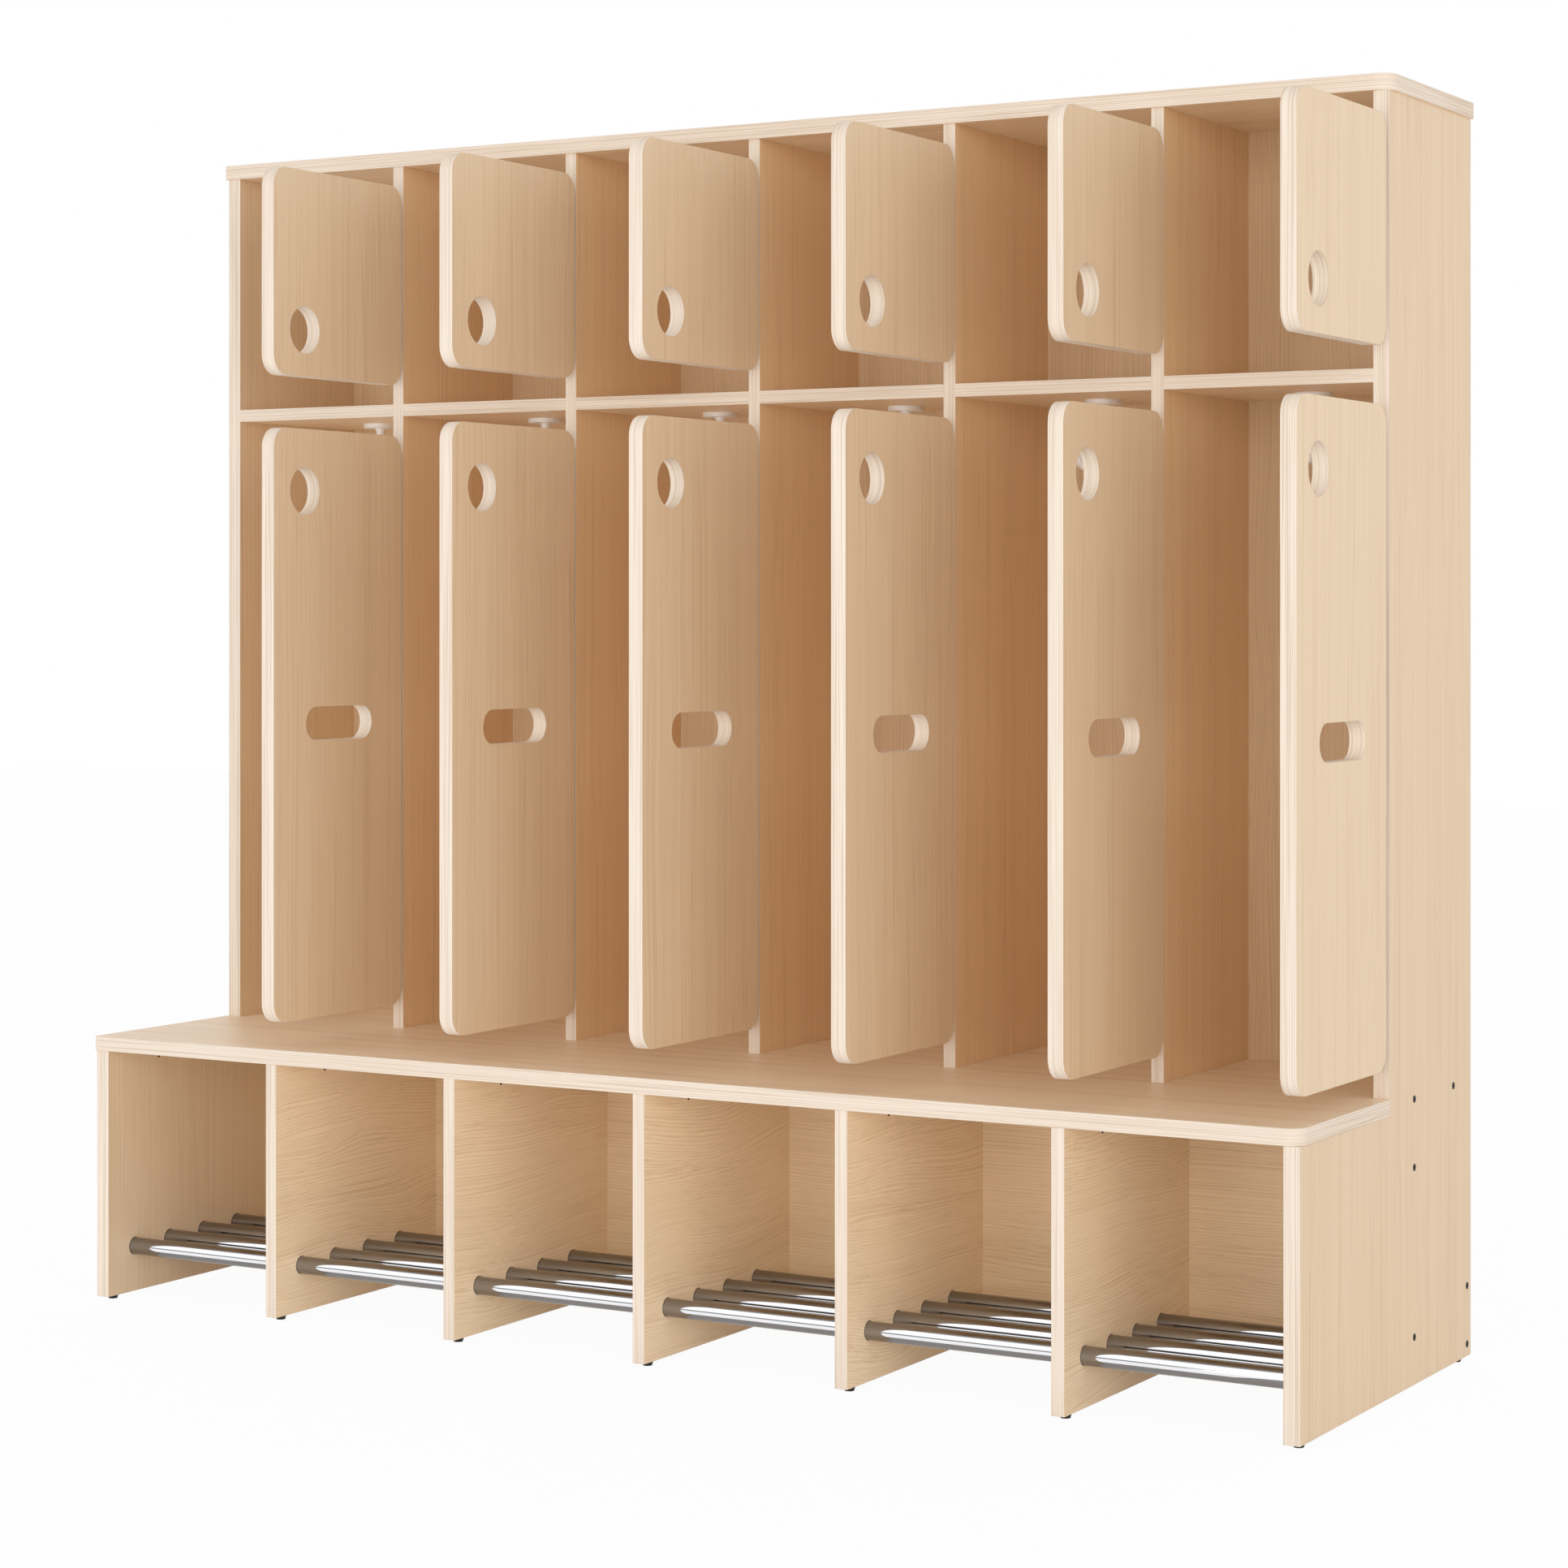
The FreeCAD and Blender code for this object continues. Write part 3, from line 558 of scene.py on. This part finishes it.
def build_hole_shadow_rings_and_rims():
    """Thin black rings, a painted shadow of the gap round each tube, and round rims over the
    flat-sided holes behind them.
    """
    sides, partitions = side_faces(), partition_faces()
    # Painted shadow in the gap round each tube, made in the glides' black plastic
    hole_shadow_ring = (HOLE_SHADOW_RING_RADIUS, HOLE_SHADOW_RING_THICKNESS, black_plastic, "black_plastic")
    rim = (RIM_RADIUS, RIM_THICKNESS)
    rings_round_tubes("tube_collars", sides + partitions, *hole_shadow_ring)
    rings_round_tubes("side_hole_rims", sides, *rim, outer_wood, "side_laminate")
    rings_round_tubes("partition_hole_rims", partitions, *rim, shoe_wood_painted_light, "carcass_laminate")


def build_glides():
    shape = bmesh.new()
    top = high("floor_glides").z
    foot_radius, top_radius = GLIDE_FOOT_RADIUS*MM, GLIDE_TOP_RADIUS*MM
    profile = [(0, 0), (foot_radius, 0), (top_radius, top), (0, top)]
    uprights = ["side_panel_left", "side_panel_right"]
    uprights += [f"bench_partition_{index}" for index in range(1, BAYS)]
    front = low("side_panel_left").y + GLIDE_FRONT*MM
    for upright in uprights:
        for line in (front, high(upright).y - GLIDE_REAR*MM):
            add_turned(shape, profile, at(middle(upright).x, line, 0))
    replaced = ["floor_glides"]
    finished("smooth_glides", shape, black_plastic, "bench_frame", replaced)


# Swivel hooks: a turned base and stem, and three bent arms

def quarter(steps):
    """Angles from 0 to 90 degrees."""
    return [math.radians(90*step/steps) for step in range(steps + 1)]


def base_profile():
    radius, drop = HOOK_BASE_RADIUS*MM, (high("hook_bases").z - low("hook_bases").z)
    curve = HOOK_BASE_ROUND*MM
    rounded = [
        (radius - curve + curve*math.sin(turn), -drop + curve - curve*math.cos(turn))
        for turn in quarter(BASE_ROUND_STEPS)
    ]
    return [(0, -drop)] + rounded + [(radius, 0), (0, 0)]


def stem_profile(top):
    stem, flare = HOOK_STEM_RADIUS*MM, HOOK_FLARE_RADIUS*MM
    foot = -HOOK_STEM_DROP*MM
    rounded = [
        (stem*math.cos(turn), foot - stem*math.sin(turn))
        for turn in quarter(STEM_ROUND_STEPS)[:-1]
    ]
    flared = [(0, top), (flare, top), (stem, top - HOOK_FLARE_HEIGHT*MM)]
    return flared + rounded + [(0, foot - stem)]


def add_arm(shape, spin):
    """One J of an oval bar, from inside the stem round to its blunt tip."""
    half_width, half_thickness = HOOK_ARM_WIDTH*MM/2, HOOK_ARM_THICKNESS*MM/2
    square = HOOK_ARM_SQUARENESS
    bend = HOOK_BEND_RADIUS*MM
    centre = Vector((-bend, 0, -HOOK_BEND_DROP*MM))
    start, end = math.radians(HOOK_TOP_ANGLE), math.radians(HOOK_TIP_ANGLE)
    tip_share = half_width/(bend*(start - end))
    rings = []
    for step in range(ARM_STEPS + 1):
        share = step/ARM_STEPS
        into_tip = max(0, (share - 1 + tip_share)/tip_share)
        scale = math.sqrt(max(HOOK_TIP_AREA, 1 - into_tip**2))
        angle = start + (end - start)*share
        outward = Vector((math.cos(angle), 0, math.sin(angle)))
        ring = []
        for side in range(ARM_SIDES):
            turn = 2*math.pi*side/ARM_SIDES
            bulge = (abs(math.cos(turn))**square + abs(math.sin(turn))**square)**(-1/square)
            across = outward*(half_width*scale*bulge*math.cos(turn))
            sideways = Vector((0, half_thickness*scale*bulge*math.sin(turn), 0))
            spot = spin @ (centre + outward*bend + across + sideways)
            ring.append(shape.verts.new(spot))
        rings.append(ring)
    for one, two in zip(rings, rings[1:]):
        for side in range(ARM_SIDES):
            following = (side + 1) % ARM_SIDES
            shape.faces.new((one[side], one[following], two[following], two[side]))
    shape.faces.new(rings[0])
    shape.faces.new(rings[-1])


def build_hooks():
    """Hooks whose stems reach a little into their bases, half a step apart from the base's sides."""
    bases = bmesh.new()
    top = high("hook_bases").z
    line = middle("hook_bases").y
    sunk = low("hook_bases").z - top + HOOK_SUNK*MM
    half_step = Matrix.Rotation(math.pi/TURNED_STEPS, 4, "Z")
    for index in range(1, BAYS + 1):
        bay = middle(f"shelf_{index}").x
        add_turned(bases, base_profile(), at(bay, line, top))
        shape = bmesh.new()
        add_turned(shape, stem_profile(sunk), half_step)
        for arm in range(HOOK_ARMS):
            add_arm(shape, Matrix.Rotation(2*math.pi*arm/HOOK_ARMS, 4, "Z"))
        for vertex in shape.verts:
            vertex.co += Vector((bay, line, top))
        node = f"coat_hook_{index}"
        name, body = f"smooth_hook_{index}", f"{node}_body"
        finished(name, shape, white_plastic, body, [node])
    name, replaced = "smooth_hook_bases", ["hook_bases"]
    finished(name, bases, white_plastic, "bench_frame", replaced)


# Screws and cams

def add_head(shape, kind, place):
    radius, height, drive, depth = [value*MM for value in kind]
    chamfer = height*HEAD_CHAMFER
    add_turned(shape, [
        (0, height - depth), (drive, height - depth), (drive, height),
        (radius - chamfer, height), (radius, height - chamfer), (radius, 0), (0, 0),
    ], place, HEAD_STEPS)


def build_panel_screws():
    shape = bmesh.new()
    back, rail = middle("bench_back_panel").y, middle("rear_rail").y
    foot = low("side_panel_left").z
    seat = middle("seat_panel").z
    margin = RAIL_SCREW_MARGIN*MM
    spots = [(back, seat), (low("shelf_1").y + SEAT_SCREW_REAR*MM, seat)]
    spots += [(back, foot + height*MM) for height in BACK_SCREW_HEIGHTS]
    spots += [(rail, low("rear_rail").z + margin), (rail, high("rear_rail").z - margin)]
    for y, z in spots:
        add_head(shape, PANEL_SCREW, at(low("side_panel_left").x, y, z, ONTO_MINUS_X))
        add_head(shape, PANEL_SCREW, at(high("side_panel_right").x, y, z, ONTO_X))
    finished("panel_screws", shape, black_steel, "bench_frame")


def build_cams():
    shape = bmesh.new()
    level = low("seat_panel").z - CAM_DROP*MM
    front = low("side_panel_left").y
    places = [(face, CAM_SETBACKS[0], turn) for face, turn in side_faces()]
    for index in range(1, BAYS):
        face = high(f"bench_partition_{index}").x
        places += [(face, setback, ONTO_X) for setback in CAM_SETBACKS]
    for face, setback, turn in places:
        add_head(shape, CAM, at(face, front + setback*MM, level, turn))
    finished("seat_cams", shape, dark_zinc, "bench_frame")


def build_hinge_screws():
    """Screws of the cups, which ride on the doors, and of the plates and arms, which don't."""
    fixed = bmesh.new()
    arm_left, plate_left = low("hinge_arms").x, low("hinge_plates").x
    plate_line = middle("hinge_plates").y
    arm_front = high("hinge_arms").y - ARM_LENGTH*MM
    half = FLANGE_HALF*MM

    def add_facing_left(shape, kind, x, y, z):
        add_head(shape, kind, at(x, y, z, ONTO_MINUS_X))

    for kind in KINDS:
        for index in range(1, BAYS + 1):
            cups = f"{kind}_cups_{index}"
            cup_left, cup_line = low(cups).x, middle(cups).y
            shift = cup_left - low(f"{kind}_cups_1").x
            moving = bmesh.new()
            for height in (low(cups).z + half, high(cups).z - half):
                for side in (-1, 1):
                    up = height + side*FLANGE_SCREW_OFFSET*MM
                    add_facing_left(moving, HINGE_SCREW, cup_left, cup_line, up)
                    up = height + side*PLATE_SCREW_OFFSET*MM
                    add_facing_left(fixed, HINGE_SCREW, plate_left + shift, plate_line, up)
                for setback in ARM_SCREW_SETBACKS:
                    line = arm_front + setback*MM
                    add_facing_left(fixed, ARM_SCREW, arm_left + shift, line, height)
            name, body = f"{kind}_cup_screws_{index}", f"{kind}_{index}_body"
            finished(name, moving, nickel, body)
    finished("hinge_screws", fixed, nickel, "bench_frame")


build_tubes()
build_hole_shadow_rings_and_rims()
build_glides()
build_hooks()
build_panel_screws()
build_cams()
build_hinge_screws()


# Floor, world, lamps and camera

def build_floor():
    mesh = bpy.data.meshes.new("floor")
    shape = bmesh.new()
    bmesh.ops.create_grid(shape, x_segments=1, y_segments=1, size=FLOOR_HALF)
    shape.to_mesh(mesh)
    shape.free()
    floor = bpy.data.objects.new("floor", mesh)
    bpy.context.collection.objects.link(floor)
    floor.location.z = -FLOOR_DROP
    material, nodes, surface = new_material("floor_white")
    surface.inputs["Base Color"].default_value = FLOOR_COLOUR
    surface.inputs["Roughness"].default_value = FLOOR_ROUGHNESS
    rays = nodes.add("ShaderNodeLightPath")
    reflected = nodes.math("MULTIPLY", rays.outputs["Is Glossy Ray"], FLOOR_REFLECTED_WHITE)
    glowing = nodes.weighted(rays.outputs["Is Camera Ray"], FLOOR_SEEN_WHITE, reflected)
    glow = nodes.add("ShaderNodeEmission", {"Color": WHITE, "Strength": 1})
    blend = nodes.add("ShaderNodeMixShader", {
        0: glowing, 1: surface.outputs[0], 2: glow.outputs[0],
    })
    output = next(node for node in nodes.tree.nodes if node.type == "OUTPUT_MATERIAL")
    nodes.feed(output.inputs["Surface"], blend.outputs[0])
    mesh.materials.append(material)


def build_world():
    world = bpy.data.worlds.new("studio")
    bpy.context.scene.world = world
    world.use_nodes = True
    nodes = Nodes(world.node_tree)
    rays = nodes.add("ShaderNodeLightPath")
    seen = nodes.math("MAXIMUM", rays.outputs["Is Camera Ray"], rays.outputs["Is Glossy Ray"])
    strength = nodes.weighted(seen, 1 - SKY, SKY)
    sky = nodes.add("ShaderNodeBackground", {"Color": WHITE, "Strength": strength})
    output = nodes.add("ShaderNodeOutputWorld")
    nodes.feed(output.inputs["Surface"], sky.outputs[0])


def add_lamp(name, place, facing, width, height, energy):
    lamp = bpy.data.lights.new(name, "AREA")
    lamp.shape = "RECTANGLE"
    lamp.size = width
    lamp.size_y = height
    lamp.energy = energy
    item = bpy.data.objects.new(name, lamp)
    item.location = place
    item.rotation_euler = facing.to_track_quat("-Z", "Y").to_euler()
    item.visible_camera = False
    bpy.context.collection.objects.link(item)
    return item


def build_lamps():
    for name, (place, side, share) in LAMPS.items():
        reach = AIM - place
        add_lamp(name, place, reach, side, side, share*math.pi**2*reach.length_squared)
    for name, (place, facing, width, height, brightness) in CARDS.items():
        card = add_lamp(name, place, facing, width, height, brightness*math.pi*width*height)
        card.data.color = CARD_COLOUR
        card.visible_diffuse = False


def build_camera():
    camera = bpy.data.cameras.new("camera")
    camera.sensor_width = SENSOR
    camera.lens = PHOTO_FOCAL/PHOTO_SIDE*SENSOR
    camera.shift_x = (PHOTO_SIDE/2 - PHOTO_MIDDLE)/PHOTO_SIDE
    camera.shift_y = (PHOTO_HORIZON - PHOTO_SIDE/2)/PHOTO_SIDE
    camera.clip_end = CAMERA_REACH
    view = bpy.data.objects.new("camera", camera)
    view.location = CAMERA_PLACE
    view.rotation_euler = (math.radians(90), 0, CAMERA_TURN)
    bpy.context.collection.objects.link(view)
    bpy.context.scene.camera = view


build_floor()
build_world()
build_lamps()
build_camera()
bpy.context.scene.view_settings.view_transform = "Standard"
